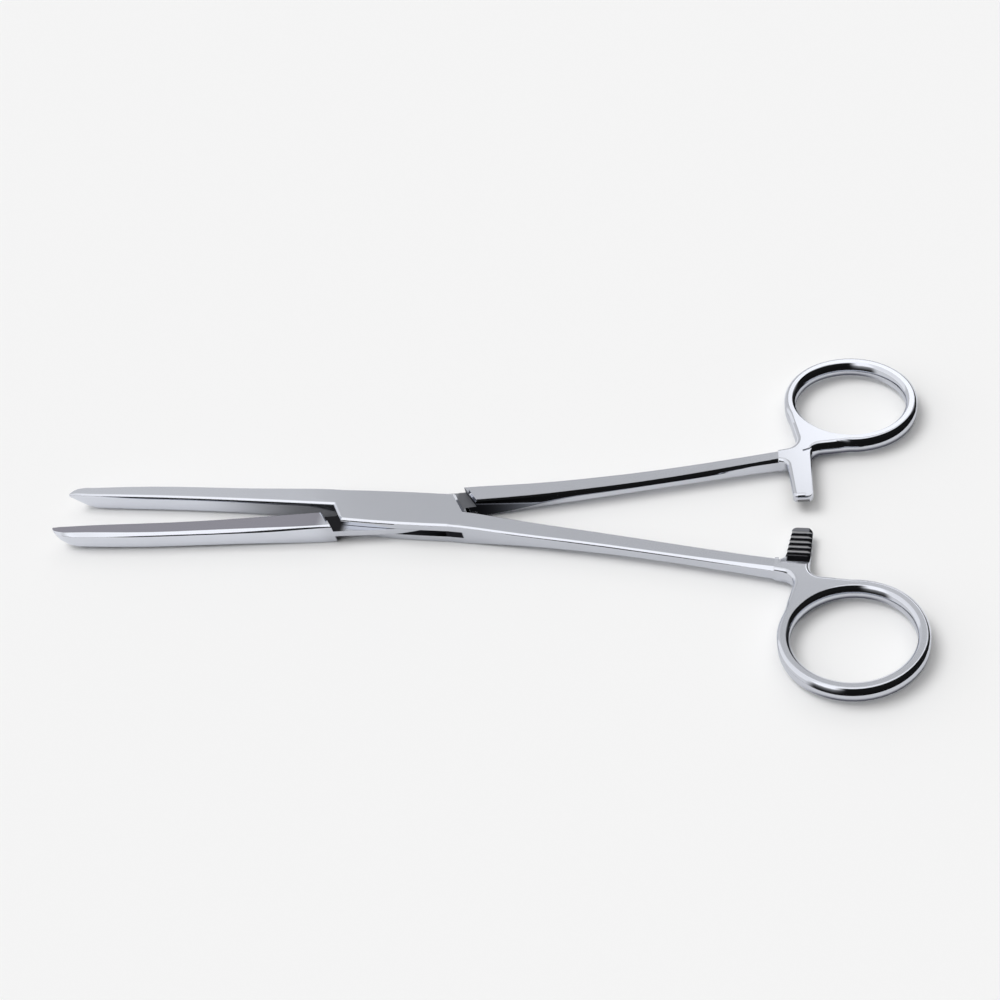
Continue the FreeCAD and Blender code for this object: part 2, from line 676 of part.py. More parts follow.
def rivet_outline(body, name, spread, radius):
    """Half of the rivet's outline, or of the hole that it fills."""
    top = S.box_thickness * HALF
    return polygon(body, name, "XZ_Plane", [
        (NOTHING, -top),
        (spread, -top),
        (radius, S.pin_head_depth - top),
        (radius, top - S.pin_head_depth),
        (spread, top),
        (NOTHING, top),
    ])


def turned(body, kind, name, sketch):
    """A full turn of an outline about the rivet's axis."""
    feature = body.newObject(f"PartDesign::{kind}", name)
    feature.Profile = sketch
    feature.ReferenceAxis = (plane(body, "Z_Axis"), [""])
    feature.Angle = FULL_TURN
    return feature


def make_box_half():
    """The half with the pierced box, its jaw on the far side and its ring on the near side."""
    body = new_half("box_half")
    loft(body, "box_block", block_sections(body, 1))
    cut_box_ends(body)
    ease(body, "Chamfer", "end_edges", S.box_end_bevel, is_slanted_rim)
    add_handle(body, 1, S.box_bar_reach)
    add_teeth(body, 1, S.box_bar_reach, False)
    add_jaw(body, 1)
    add_shank(body, 1)
    add_slot(body)
    turned(body, "Groove", "rivet_hole",
           rivet_outline(body, "rivet_hole_outline", S.pin_head_radius, S.pin_radius))
    return body


def make_tongue_half():
    """The half with the tongue, its jaw on the near side and its ring on the far side."""
    body = new_half("tongue_half")
    loft(body, "tongue_block", block_sections(body, -1))
    clear = S.slot_wall - S.lock_gap / slope()
    reach = S.box_half_width + S.cutter_spare
    cut_beyond(body, "far_corner", -clear, 1, -S.lock_gap, reach)
    cut_beyond(body, "near_corner", clear, 1, -reach, S.lock_gap)
    add_handle(body, -1, S.tongue_bar_reach)
    add_teeth(body, -1, S.tongue_bar_reach, True)
    add_strip(body, -1, S.tongue_bar_reach)
    add_jaw(body, -1)
    add_shank(body, -1)
    tongue_top = S.slot_height * HALF - S.tongue_play
    above = S.box_thickness * HALF + S.cutter_spare - tongue_top
    for name, sign in (("upper", 1), ("lower", -1)):
        outline = polygon(body, f"{name}_relief_outline", "XY_Plane", [
            slanted_point(-S.shoulder_front, reach, -1),
            slanted_point(-S.shoulder_front, -reach, -1),
            slanted_point(S.shoulder_back, -reach, -1),
            slanted_point(S.shoulder_back, reach, -1),
        ], (tongue_top + above * HALF) * sign)
        pocket(body, f"{name}_relief", outline, above)
    ease(body, "Chamfer", "shoulder_edges", S.shoulder_bevel, is_shoulder_rim)
    bore = new_sketch(body, "bore_outline", "XY_Plane")
    radius = S.pin_radius + S.pin_play
    bore.addGeometry(Part.Circle(FreeCAD.Vector(), FreeCAD.Vector(0, 0, 1), radius.value))
    bore.addConstraint(Sketcher.Constraint("Coincident", 0, 3, -1, 1))
    bind(bore, "Radius", radius, 0)
    pocket(body, "bore", bore, S.slot_height + S.cutter_spare)
    return body


def make_pivot_pin():
    """The rivet, spread at both ends into the plates and ground flush with them."""
    body = new_half("pivot_pin")
    turned(body, "Revolution", "rivet",
           rivet_outline(body, "rivet_outline", S.pin_head_radius, S.pin_radius))
    return body


def check_document():
    """Stops if any object of the document has failed."""
    for thing in doc.Objects:
        if "Invalid" in thing.State or "Error" in thing.State:
            raise RuntimeError(f"{thing.Name} failed: {thing.State}")


box_half = make_box_half()
place_half(box_half, -1)
tongue_half = make_tongue_half()
place_half(tongue_half, 1)
pivot_pin = make_pivot_pin()
place_half(pivot_pin, -1)
doc.recompute()
check_document()

for body in (box_half, tongue_half, pivot_pin):
    shape = body.Shape
    if shape.isNull() or not shape.isValid():
        raise RuntimeError(f"{body.Label} has no valid shape")
    shape.exportStep(f"parts/{body.Label}.step")
    box = shape.BoundBox
    print(f"{body.Label}: {len(shape.Solids)} solid, {shape.Volume:.1f} mm3, "
          f"x {box.XMin:.1f} to {box.XMax:.1f}, y {box.YMin:.1f} to {box.YMax:.1f}, "
          f"z {box.ZMin:.2f} to {box.ZMax:.2f}")
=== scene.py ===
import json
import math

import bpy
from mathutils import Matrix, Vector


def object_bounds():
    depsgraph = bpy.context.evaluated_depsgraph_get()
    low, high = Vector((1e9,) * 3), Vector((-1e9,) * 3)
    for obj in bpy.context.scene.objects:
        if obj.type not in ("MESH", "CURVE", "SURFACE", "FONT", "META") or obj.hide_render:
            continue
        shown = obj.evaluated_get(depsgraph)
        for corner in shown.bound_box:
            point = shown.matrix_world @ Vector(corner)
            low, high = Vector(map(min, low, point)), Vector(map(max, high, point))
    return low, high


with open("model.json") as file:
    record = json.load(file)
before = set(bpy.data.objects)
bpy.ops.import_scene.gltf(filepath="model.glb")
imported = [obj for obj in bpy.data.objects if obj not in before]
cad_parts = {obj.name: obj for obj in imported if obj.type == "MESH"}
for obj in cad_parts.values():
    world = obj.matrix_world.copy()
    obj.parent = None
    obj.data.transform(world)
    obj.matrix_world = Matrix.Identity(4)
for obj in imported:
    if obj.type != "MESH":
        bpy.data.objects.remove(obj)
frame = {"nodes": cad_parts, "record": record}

# %% [markdown]
# # Box-lock tissue forceps in polished steel
# The forceps are two stainless forgings that cross in a box lock on one flush rivet.
# The frame holds the real shapes, so this lesson is about light, floor, camera and steel.
# Steel has hardly any colour of its own. It shows the room, so most of its look comes
# from where the bright and the dark parts of the room are.

MM_PER_METRE = 1000

cad_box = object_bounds()
print("nodes:", sorted(frame["nodes"]))
print("CAD box in mm:", [[round(c * MM_PER_METRE, 1) for c in corner] for corner in cad_box])

# %% [markdown]
# ## Units
# The frame is in metres. Sizes of a hand tool read better in millimetres, so each size
# here is written in millimetres and changed by one small helper.


# %% Millimetres
def mm(value):
    """A length in millimetres as metres."""
    return value / MM_PER_METRE


# %% [markdown]
# ## Camera
# A camera could be placed by eye, but a lens that is a little off bends a slim tool.
# Its place was worked out from edges traced in the photograph and the model's own plan,
# so the values below are the view's angles, its distance and its lens, and the matrix
# follows from them.

# %% The view's values
VIEW_ELEVATION = math.radians(46.761)
VIEW_TURN = math.radians(22.142)
VIEW_ROLL = math.radians(-16.991)
VIEW_DISTANCE = mm(290.976)
VIEW_TARGET = Vector((mm(22.763), mm(4.277), mm(3.0)))
NEAREST_SEEN = mm(10)
SENSOR_WIDTH = 36.0
LENS_RATIO = 1.28868


# %% The camera
def make_camera():
    """The camera at the view's angles, looking at the point between box and shanks."""
    back = Vector((
        math.sin(VIEW_TURN) * math.cos(VIEW_ELEVATION),
        -math.cos(VIEW_TURN) * math.cos(VIEW_ELEVATION),
        math.sin(VIEW_ELEVATION),
    ))
    level_right = Vector((math.cos(VIEW_TURN), math.sin(VIEW_TURN), 0))
    level_up = back.cross(level_right)
    right = level_right * math.cos(VIEW_ROLL) + level_up * math.sin(VIEW_ROLL)
    up = back.cross(right)
    data = bpy.data.cameras.new("view")
    data.sensor_width = SENSOR_WIDTH
    data.lens = LENS_RATIO * SENSOR_WIDTH
    data.clip_start = NEAREST_SEEN
    camera = bpy.data.objects.new("view", data)
    place = VIEW_TARGET + back * VIEW_DISTANCE
    camera.matrix_world = Matrix((
        (right.x, up.x, back.x, place.x),
        (right.y, up.y, back.y, place.y),
        (right.z, up.z, back.z, place.z),
        (0, 0, 0, 1),
    ))
    bpy.context.scene.collection.objects.link(camera)
    bpy.context.scene.camera = camera
    print("camera at", [round(c * MM_PER_METRE) for c in place], "mm, lens", round(data.lens, 1))


make_camera()
bpy.context.scene.view_settings.view_transform = "Standard"

# %% [markdown]
# ## Small helpers for node materials
# A node tree is made of nodes and links. These helpers keep each material short: they add
# a node, feed a socket, do a sum, rise softly from 0 to 1, and mix two values.

# %% Node helpers
LEVEL = (1, 1, 0)


def add_node(tree, kind, **settings):
    """A new node of a kind, with its plain settings given by name."""
    node = tree.nodes.new(kind)
    for name, value in settings.items():
        setattr(node, name, value)
    return node


def feed(tree, value, socket):
    """Puts a plain value into a socket, or links another node's output to it."""
    if isinstance(value, bpy.types.NodeSocket):
        tree.links.new(value, socket)
    else:
        socket.default_value = value


def calculate(tree, operation, *values):
    """The result of one sum on numbers or outputs."""
    node = add_node(tree, "ShaderNodeMath", operation=operation)
    for socket, value in zip(node.inputs, values):
        feed(tree, value, socket)
    return node.outputs["Value"]


def product(tree, first, *others):
    """Several numbers or outputs multiplied together."""
    result = first
    for other in others:
        result = calculate(tree, "MULTIPLY", result, other)
    return result


def unsigned(tree, value):
    """A value without its sign."""
    return calculate(tree, "ABSOLUTE", value)


def soft_rise(tree, value, start, end):
    """A value that rises softly from 0 at the start to 1 at the end."""
    node = add_node(tree, "ShaderNodeMapRange", interpolation_type="SMOOTHSTEP")
    feed(tree, value, node.inputs["Value"])
    node.inputs["From Min"].default_value = start
    node.inputs["From Max"].default_value = end
    return node.outputs["Result"]


def between(tree, value, low, high, soft):
    """1 between two values and 0 outside them, with a soft start and end inside."""
    start = soft_rise(tree, value, low, low + soft)
    end = soft_rise(tree, value, high, high - soft)
    return product(tree, start, end)


def mix(tree, kind, share, below, above):
    """Goes from one value or colour to another by a share."""
    node = add_node(tree, "ShaderNodeMix", data_type=kind)
    feed(tree, share, node.inputs["Factor"])
    feed(tree, below, node.inputs["A"])
    feed(tree, above, node.inputs["B"])
    return node.outputs["Result"]


# %% Helpers for directions
def on_vectors(tree, operation, *values):
    """The vector that one operation makes of vectors."""
    node = add_node(tree, "ShaderNodeVectorMath", operation=operation)
    for socket, value in zip(node.inputs, values):
        feed(tree, value, socket)
    return node.outputs["Vector"]


def split(tree, vector):
    """The three parts of a vector."""
    node = add_node(tree, "ShaderNodeSeparateXYZ")
    tree.links.new(vector, node.inputs["Vector"])
    return node.outputs


def level_part(tree, vector):
    """The level direction that a vector points in."""
    return on_vectors(tree, "NORMALIZE", on_vectors(tree, "MULTIPLY", vector, LEVEL))


def likeness(tree, vector, direction):
    """How much a vector points in a fixed direction, as their dot product."""
    node = add_node(tree, "ShaderNodeVectorMath", operation="DOT_PRODUCT")
    tree.links.new(vector, node.inputs[0])
    node.inputs[1].default_value = direction
    return node.outputs["Value"]


def leaning(tree, outward, lean):
    """The facing of a wall that leans back by a tangent, from its level outward direction."""
    upwards = add_node(tree, "ShaderNodeCombineXYZ")
    feed(tree, lean, upwards.inputs["Z"])
    leant = on_vectors(tree, "ADD", outward, upwards.outputs["Vector"])
    return on_vectors(tree, "NORMALIZE", leant)


def blend_facing(tree, share, facing, other):
    """Turns one facing towards another by a share."""
    return on_vectors(tree, "NORMALIZE", mix(tree, "VECTOR", share, facing, other))


# %% [markdown]
# ## Floor
# The tool lies on a pale, plain surface. A floor with a real colour keeps the soft shadow
# under the rings, which a floor that glows would lose.

# %% The floor
FLOOR_HALF = 1.5
FLOOR_GREY = 0.9
FLOOR_ROUGHNESS = 0.9


def make_floor(level):
    """A wide pale plane without gloss, at the height that the tool lies on."""
    mesh = bpy.data.meshes.new("floor")
    corners = [(-FLOOR_HALF, -FLOOR_HALF, level), (FLOOR_HALF, -FLOOR_HALF, level),
               (FLOOR_HALF, FLOOR_HALF, level), (-FLOOR_HALF, FLOOR_HALF, level)]
    mesh.from_pydata(corners, [], [(0, 1, 2, 3)])
    floor = bpy.data.objects.new("floor", mesh)
    bpy.context.scene.collection.objects.link(floor)
    paint = bpy.data.materials.new("floor_paper")
    paint.use_nodes = True
    shader = paint.node_tree.nodes["Principled BSDF"]
    shader.inputs["Base Color"].default_value = (FLOOR_GREY, FLOOR_GREY, FLOOR_GREY, 1)
    shader.inputs["Roughness"].default_value = FLOOR_ROUGHNESS
    shader.inputs["Specular IOR Level"].default_value = 0.0
    mesh.materials.append(paint)
    print("floor at", round(level * MM_PER_METRE, 2), "mm")


make_floor(cad_box[0][2])

# %% [markdown]
# ## Room light
# Flat steel shows the part of the room that mirrors the view, and a rounded edge sweeps
# through the whole room in a millimetre. So the room is dark low down and bright at the
# top, and has boards in it. Bright ones on the viewer's side and on the left make the
# white lines along the edges. A black one on the right, with ends that fade slowly, draws
# the dark bands on the rings. Two grey ones on the far side are what the flat tops show,
# and a small bright one, laid over them, whitens the far handle.

# %% The room's boards
# Each board is a stretch of the room: the middle and half width of its bearing, its lowest
# and highest elevation, how softly it ends, all in degrees, and how bright it is. A fade,
# where there is one, is how softly it ends to the left and right.
BOARDS = {
    "viewer": {"bearing": -105, "half_width": 50, "low": 33, "high": 80, "soft": 7, "light": 1.2},
    "left": {"bearing": 185, "half_width": 30, "low": 5, "high": 60, "soft": 15, "light": 0.95},
    "black": {"bearing": -38, "half_width": 55, "low": -20, "high": 50, "soft": 7, "fade": 18,
              "light": 0.01},
    "far_grey": {"bearing": 104, "half_width": 32, "low": -15, "high": 60, "soft": 4,
                 "light": 0.56},
    "far_left": {"bearing": 136, "half_width": 10, "low": -15, "high": 60, "soft": 6,
                 "light": 0.67},
    "far": {"bearing": 80, "half_width": 14, "low": 36, "high": 48.8, "soft": 2, "light": 1.32},
}
HORIZON = 0.16
ROOM_TOP_AT = 0.9
ROOM_LOW_LIGHT = 0.02
ROOM_TOP_LIGHT = 1.0
WHITE = (1, 1, 1, 1)


def board_mask(tree, level_bearing, height, board):
    """1 inside a board and 0 outside it, from the level direction and the height of a look."""
    middle = math.radians(board["bearing"])
    edge = math.radians(board["half_width"])
    soft = math.radians(board["soft"])
    fade = math.radians(board.get("fade", board["soft"]))
    low = math.radians(board["low"])
    high = math.radians(board["high"])
    towards = likeness(tree, level_bearing, (math.cos(middle), math.sin(middle), 0))
    across = soft_rise(tree, towards, math.cos(edge + fade), math.cos(edge))
    above = soft_rise(tree, height, math.sin(low - soft), math.sin(low))
    below = soft_rise(tree, height, math.sin(high + soft), math.sin(high))
    return product(tree, across, above, below)


def make_room():
    """A plain studio room: a gradient by height, and the boards."""
    world = bpy.data.worlds.new("studio")
    world.use_nodes = True
    bpy.context.scene.world = world
    tree = world.node_tree
    tree.nodes.clear()
    look = add_node(tree, "ShaderNodeTexCoord").outputs["Generated"]
    height = split(tree, look)["Z"]
    level_bearing = level_part(tree, look)
    gradient = soft_rise(tree, height, HORIZON, ROOM_TOP_AT)
    light = mix(tree, "FLOAT", gradient, ROOM_LOW_LIGHT, ROOM_TOP_LIGHT)
    for board in BOARDS.values():
        mask = board_mask(tree, level_bearing, height, board)
        light = mix(tree, "FLOAT", mask, light, board["light"])
    glow = add_node(tree, "ShaderNodeBackground")
    glow.inputs["Color"].default_value = WHITE
    tree.links.new(light, glow.inputs["Strength"])
    out = add_node(tree, "ShaderNodeOutputWorld")
    tree.links.new(glow.outputs["Background"], out.inputs["Surface"])
    print("room with", len(BOARDS), "boards")


make_room()

# %% [markdown]
# ## Soft lamp
# One lamp high on the far left gives the soft shadow to the right of the rings. Steel shows
# the room's boards and not this lamp, so that it makes no hard spots on the edges.

# %% The lamp
LAMP_BEARING = 163
LAMP_ELEVATION = 64
LAMP_SOFTNESS = 32
LAMP_STRENGTH = 1.16


def make_lamp():
    """A far lamp as wide as a window, shining from its bearing and elevation."""
    data = bpy.data.lights.new("key_lamp", "SUN")
    data.energy = LAMP_STRENGTH
    data.angle = math.radians(LAMP_SOFTNESS)
    lamp = bpy.data.objects.new("key_lamp", data)
    bearing = math.radians(LAMP_BEARING)
    elevation = math.radians(LAMP_ELEVATION)
    towards = Vector((
        math.cos(bearing) * math.cos(elevation),
        math.sin(bearing) * math.cos(elevation),
        math.sin(elevation),
    ))
    lamp.rotation_euler = towards.to_track_quat("Z", "Y").to_euler()
    lamp.visible_glossy = False
    bpy.context.scene.collection.objects.link(lamp)
    print("lamp at bearing", LAMP_BEARING, "and elevation", LAMP_ELEVATION)


make_lamp()

# %% [markdown]
# ## Reading the steel's places
# The finish changes from place to place, and the material finds its place by itself. X is
# the distance from the rivet, towards the rings, Y is the distance from the middle plane,
# rise is the height over the middle of the thickness, and uprightness is 1 on a level face
# and 0 on a wall. Painted masks would do it too, but they would need a picture for each
# piece. A name with two values gives the start and the end of a soft rise.

# %% Walls and inner sides
MID_HEIGHT = cad_box[0][2] + (cad_box[1][2] - cad_box[0][2]) / 2
WALL = (0.5, 0.2)
INWARD = (0.4, 0.7)


def inner_share(tree, place, outward):
    """1 where a wall faces the other half, and 0 elsewhere."""
    side = calculate(tree, "SIGN", split(tree, place)["Y"])
    inward = product(tree, split(tree, outward)["Y"], product(tree, side, -1.0))
    return soft_rise(tree, inward, *INWARD)


# %% [markdown]
# ## Rounded rods
# The rings' rods and the sides of the web are oval on the real tool, worn round by
# polishing. More facets could show that, but bending the way that a wall faces, by its
# height, does the same at less cost.

# %% The rods' sizes
HANDLE_TOP = mm(2.1)
ROD_HALF = mm(1.15)
ROD_LONG = mm(13.25)
ROD_SHORT = mm(12.0)
RING_LEAN = math.radians(15.3)
ROD_FADE = mm(0.6)
ROD_ROUND = 0.95
ROD_TILT = 0.46
ROD_STEEPEST = 0.78
OFF_TOP = (1.0, 0.9)
WEB_FROM = (mm(85), mm(88))
WEB_SIDE = (0.8, 0.6)
CLEAR_OF_BAR = (mm(9), mm(13))


def ring_middle(opening_name):
    """The middle of a finger ring, from the opening that the record gives for it."""
    for opening in frame["record"]["physics"]["openings"]:
        if opening["name"] == opening_name:
            low, high = opening["box_m"]
            return tuple((a + b) / 2 for a, b in zip(low, high))
    raise ValueError(opening_name)


def rod_lift(tree, rise):
    """How steeply a rod's side looks up at a height, as a tangent."""
    curve = ROD_ROUND * ROD_HALF / HANDLE_TOP ** 2
    lift = calculate(tree, "MULTIPLY_ADD", rise, curve, ROD_TILT)
    return calculate(tree, "MINIMUM", lift, ROD_STEEPEST)


# %% Bending the rods' sides
def oval_facing(tree, place, facing, upright, rise, middle, lean):
    """Turns the ring's walls to face as those of a rod with an oval section would."""
    flat = on_vectors(tree, "MULTIPLY", place, LEVEL)
    here = add_node(tree, "ShaderNodeMapping", vector_type="TEXTURE")
    here.inputs["Location"].default_value = (middle[0], middle[1], 0)
    here.inputs["Rotation"].default_value = (0, 0, lean)
    here.inputs["Scale"].default_value = (ROD_LONG, ROD_SHORT, 1)
    tree.links.new(flat, here.inputs["Vector"])
    reach = add_node(tree, "ShaderNodeVectorMath", operation="LENGTH")
    tree.links.new(here.outputs["Vector"], reach.inputs[0])
    beyond = calculate(tree, "SUBTRACT", reach.outputs["Value"], 1.0)
    beyond = product(tree, beyond, (ROD_LONG + ROD_SHORT) / 2)
    away = add_node(tree, "ShaderNodeMapping", vector_type="VECTOR")
    away.inputs["Rotation"].default_value = (0, 0, lean)
    away.inputs["Scale"].default_value = (ROD_SHORT / ROD_LONG, 1, 1)
    tree.links.new(here.outputs["Vector"], away.inputs["Vector"])
    outward = on_vectors(tree, "NORMALIZE", away.outputs["Vector"])
    sideways = add_node(tree, "ShaderNodeVectorMath", operation="SCALE")
    tree.links.new(outward, sideways.inputs[0])
    tree.links.new(calculate(tree, "DIVIDE", beyond, ROD_HALF), sideways.inputs["Scale"])
    oval = leaning(tree, sideways.outputs["Vector"], rod_lift(tree, rise))
    at_rod = soft_rise(tree, unsigned(tree, beyond), ROD_HALF + ROD_FADE, ROD_HALF)
    share = product(tree, at_rod, soft_rise(tree, upright, *OFF_TOP))
    return blend_facing(tree, share, facing, oval)


def handle_facing(tree, place, facing, upright, rise):
    """Rounds the sides of the web like the rings' rods, clear of the ratchet bar."""
    share = product(
        tree,
        soft_rise(tree, upright, *WEB_SIDE),
        soft_rise(tree, split(tree, place)["X"], *WEB_FROM),
        soft_rise(tree, unsigned(tree, split(tree, place)["Y"]), *CLEAR_OF_BAR),
    )
    round_side = leaning(tree, level_part(tree, facing), rod_lift(tree, rise))
    return blend_facing(tree, share, facing, round_side)


# %% [markdown]
# ## Ratchet teeth
# The teeth are left as milled, so they are rougher. Their slopes get a painted shade, near black,
# for the shade between the bars, and the level land at the bar's tip a little less so. Only
# their short steep walls catch the light. A second material on those faces would end in a hard
# line, so shares by place and facing do it.

# %% Teeth
BAR_FROM = (mm(86.2), mm(86.6))
RAMP_FROM = (mm(78), mm(80))
RAMP_WITHIN = (mm(12.2), mm(11.8))
SLOPE_LOW = 0.76
SLOPE_HIGH = 0.985
SLOPE_SOFT = 0.05
SLOPE_RISE = (mm(1.7), mm(1.4))
LAND_UPRIGHT = (SLOPE_HIGH, 0.995)
LAND_RISE = (mm(0.6), mm(0.4))
LAND_SHARE = 0.93
BAR_TIP = (mm(5.6), mm(5.2))
TIP_CHANGE = -0.2
STEEP_WALL = (0.93, 0.99)
STEEP_RISE = (mm(0.9), mm(0.7))
TEETH_START = mm(84)
TEETH_END = mm(94)
TEETH_SOFT = mm(0.5)
TEETH_WITHIN = (mm(12.5), mm(12))


def milled_and_shaded_share(tree, place, upright, rise):
    """1 on the ratchet's ramp and on the teeth's slopes, and 0 elsewhere."""
    along = split(tree, place)["X"]
    from_middle = unsigned(tree, split(tree, place)["Y"])
    from_mid_height = unsigned(tree, rise)
    on_ramp = product(
        tree,
        soft_rise(tree, along, *RAMP_FROM),
        soft_rise(tree, from_middle, *RAMP_WITHIN),
    )
    on_bar = calculate(tree, "MAXIMUM", soft_rise(tree, along, *BAR_FROM), on_ramp)
    sloping = between(tree, upright, SLOPE_LOW, SLOPE_HIGH, SLOPE_SOFT)
    sloping = product(tree, sloping, soft_rise(tree, from_mid_height, *SLOPE_RISE))
    at_tip = soft_rise(tree, from_middle, *BAR_TIP)
    level = product(
        tree,
        soft_rise(tree, upright, *LAND_UPRIGHT),
        soft_rise(tree, from_mid_height, *LAND_RISE),
        calculate(tree, "MULTIPLY_ADD", at_tip, TIP_CHANGE, LAND_SHARE),
    )
    return product(tree, calculate(tree, "MAXIMUM", sloping, level), on_bar)


def tooth_wall_share(tree, place, facing, rise):
    """1 on the teeth's short steep walls, and 0 elsewhere."""
    return product(
        tree,
        soft_rise(tree, unsigned(tree, split(tree, facing)["Y"]), *STEEP_WALL),
        soft_rise(tree, unsigned(tree, rise), *STEEP_RISE),
        between(tree, split(tree, place)["X"], TEETH_START, TEETH_END, TEETH_SOFT),
        soft_rise(tree, unsigned(tree, split(tree, place)["Y"]), *TEETH_WITHIN),
    )


# %% [markdown]
# ## Painted shade inside the lock
# The tongue shows in the gaps at the box's ends, and the slot opens on the near side. Both lie
# in the shade between the parts, so both are painted dark, a little less so on the ring side.

# %% Lock and slot
GAP_UPRIGHT = (0.5, 0.9)
GAP_RISE = (mm(1.5), mm(1.2))
GAP_START = mm(11)
GAP_END = mm(23)
GAP_SOFT = mm(2.5)
JAW_SIDE = (mm(1), mm(-1))
GAP_SHARE = 0.75
JAW_SIDE_MORE = 0.25
SLOT_RISE = (mm(0.99), mm(0.96))
SLOT_WITHIN = (mm(16.2), mm(15.8))


def lock_shade_share(tree, place, upright, rise):
    """1 on the tongue's faces where they show in the gaps at the box's ends, and 0 elsewhere."""
    along = split(tree, place)["X"]
    at_jaws = soft_rise(tree, along, *JAW_SIDE)
    return product(
        tree,
        soft_rise(tree, upright, *GAP_UPRIGHT),
        calculate(tree, "MULTIPLY_ADD", at_jaws, JAW_SIDE_MORE, GAP_SHARE),
        soft_rise(tree, unsigned(tree, rise), *GAP_RISE),
        between(tree, unsigned(tree, along), GAP_START, GAP_END, GAP_SOFT),
    )


def slot_shade_share(tree, place, rise):
    """1 on the walls of the slot inside the box, and 0 elsewhere."""
    return product(
        tree,
        soft_rise(tree, unsigned(tree, rise), *SLOT_RISE),
        soft_rise(tree, unsigned(tree, split(tree, place)["X"]), *SLOT_WITHIN),
    )


# %% [markdown]
# ## Shade beside the box
# Close to the box the jaws and the shanks stand so near each other that their inner walls
# show only one another. A renderer's bounces give some of that, but the walls would still
# mirror a bright wedge, so they are shaded by how far they are from the box.

# %% The crotch's shade
JAW_CROTCH = (mm(-55), mm(-22))
JAW_CROTCH_END = (mm(-8), mm(-12))
JAW_CROTCH_SHARE = 0.85
SHANK_CROTCH = (mm(42), mm(17))
SHANK_CROTCH_END = (mm(8), mm(12))


def crotch_share(tree, place, facing, upright):
    """1 on the inner walls close to the box, where jaws and shanks shade each other, to 0."""
    along = split(tree, place)["X"]
    near_jaws = product(
        tree,
        soft_rise(tree, along, *JAW_CROTCH),
        soft_rise(tree, along, *JAW_CROTCH_END),
        JAW_CROTCH_SHARE,
    )
    near_shanks = product(
        tree,
        soft_rise(tree, along, *SHANK_CROTCH),
        soft_rise(tree, along, *SHANK_CROTCH_END),
    )
    stretch = calculate(tree, "MAXIMUM", near_jaws, near_shanks)
    inner = inner_share(tree, place, level_part(tree, facing))
    return product(tree, stretch, inner, soft_rise(tree, upright, *WALL))


# %% [markdown]
# ## Limbs
# Right under the bevel, the limbs' sides lean back and mirror the dark part of the room,
# which draws a thin dark line along the tool. The shanks' inner sides are rounded as a
# whole. Both are a matter of facing, so they are bent in the shading and not in the mesh.

# %% The limbs' sizes
WAIST = mm(59)
EDGE_CURVE = 0.83
SHANK_WALL_TOP = mm(1.12)
JAW_WALL_TOP = mm(1.9)
PAST_RIVET = (0.0, mm(1))
SHANK_LINE = (mm(20), mm(84), mm(8))
JAW_LINE = (mm(-84), mm(-13), mm(20))
LINE_WIDTH = mm(0.65)
LINE_RISE = (-LINE_WIDTH, mm(-0.1))
LINE_LEAN = 0.6
INNER_FROM = (mm(12), mm(15))
INNER_UNTIL = (mm(84), mm(66))
INNER_UPRIGHT = (0.95, 0.85)
CROTCH_STRETCH = (mm(42), mm(18))
CROTCH_LIFT = mm(2.4)
INNER_RISE = (mm(-0.3), mm(0.5))
INNER_LEAN_MORE = 0.55
INNER_LEAN = 0.08


# %% Bending the limbs' sides
def line_share(tree, along, upright, rise):
    """1 on the line under a limb's bevel, and 0 elsewhere; it tapers off at its ends."""
    # The shank is thinnest at its waist, so its top edge follows a shallow curve.
    from_waist = calculate(tree, "SUBTRACT", along, WAIST)
    shank_edge = product(tree, product(tree, from_waist, from_waist), EDGE_CURVE)
    shank_edge = calculate(tree, "ADD", shank_edge, SHANK_WALL_TOP)
    on_shank = soft_rise(tree, along, *PAST_RIVET)
    wall_top = mix(tree, "FLOAT", on_shank, JAW_WALL_TOP, shank_edge)
    below_edge = calculate(tree, "SUBTRACT", rise, wall_top)
    limbs = calculate(tree, "MAXIMUM", between(tree, along, *SHANK_LINE),
                      between(tree, along, *JAW_LINE))
    ended = calculate(tree, "MULTIPLY_ADD", limbs, LINE_WIDTH, -LINE_WIDTH)
    line = soft_rise(tree, calculate(tree, "ADD", below_edge, ended), *LINE_RISE)
    return product(tree, soft_rise(tree, upright, *WALL), line)


def limb_facing(tree, place, facing, upright, rise):
    """Leans the limbs' sides back under their bevels, and rounds the shanks' inner sides."""
    outward = level_part(tree, facing)
    along = split(tree, place)["X"]
    under_bevel = line_share(tree, along, upright, rise)
    facing = mix(tree, "VECTOR", under_bevel, facing, leaning(tree, outward, LINE_LEAN))
    inner_shank = product(
        tree,
        inner_share(tree, place, outward),
        soft_rise(tree, along, *INNER_FROM),
        soft_rise(tree, along, *INNER_UNTIL),
        soft_rise(tree, upright, *INNER_UPRIGHT),
    )
    lifted = product(tree, soft_rise(tree, along, *CROTCH_STRETCH), CROTCH_LIFT)
    lean = soft_rise(tree, calculate(tree, "ADD", rise, lifted), *INNER_RISE)
    lean = calculate(tree, "MULTIPLY_ADD", lean, INNER_LEAN_MORE, INNER_LEAN)
    return blend_facing(tree, inner_shank, facing, leaning(tree, outward, lean))


# %% [markdown]
# ## Facing with eased edges
# A ground edge is never quite sharp, and a fine rounding catches a thin bright line. Real
# roundings on every edge would need many facets, so the shading rounds them. The level
# flats are kept exactly level, because the least tilt would show as a stain in a mirror.

# %% Eased edges
EDGE_EASE = mm(0.16)
EDGE_SAMPLES = 6
OFF_FLAT = (0.96, 0.92)
TRULY_LEVEL = (0.9999, 0.99996)


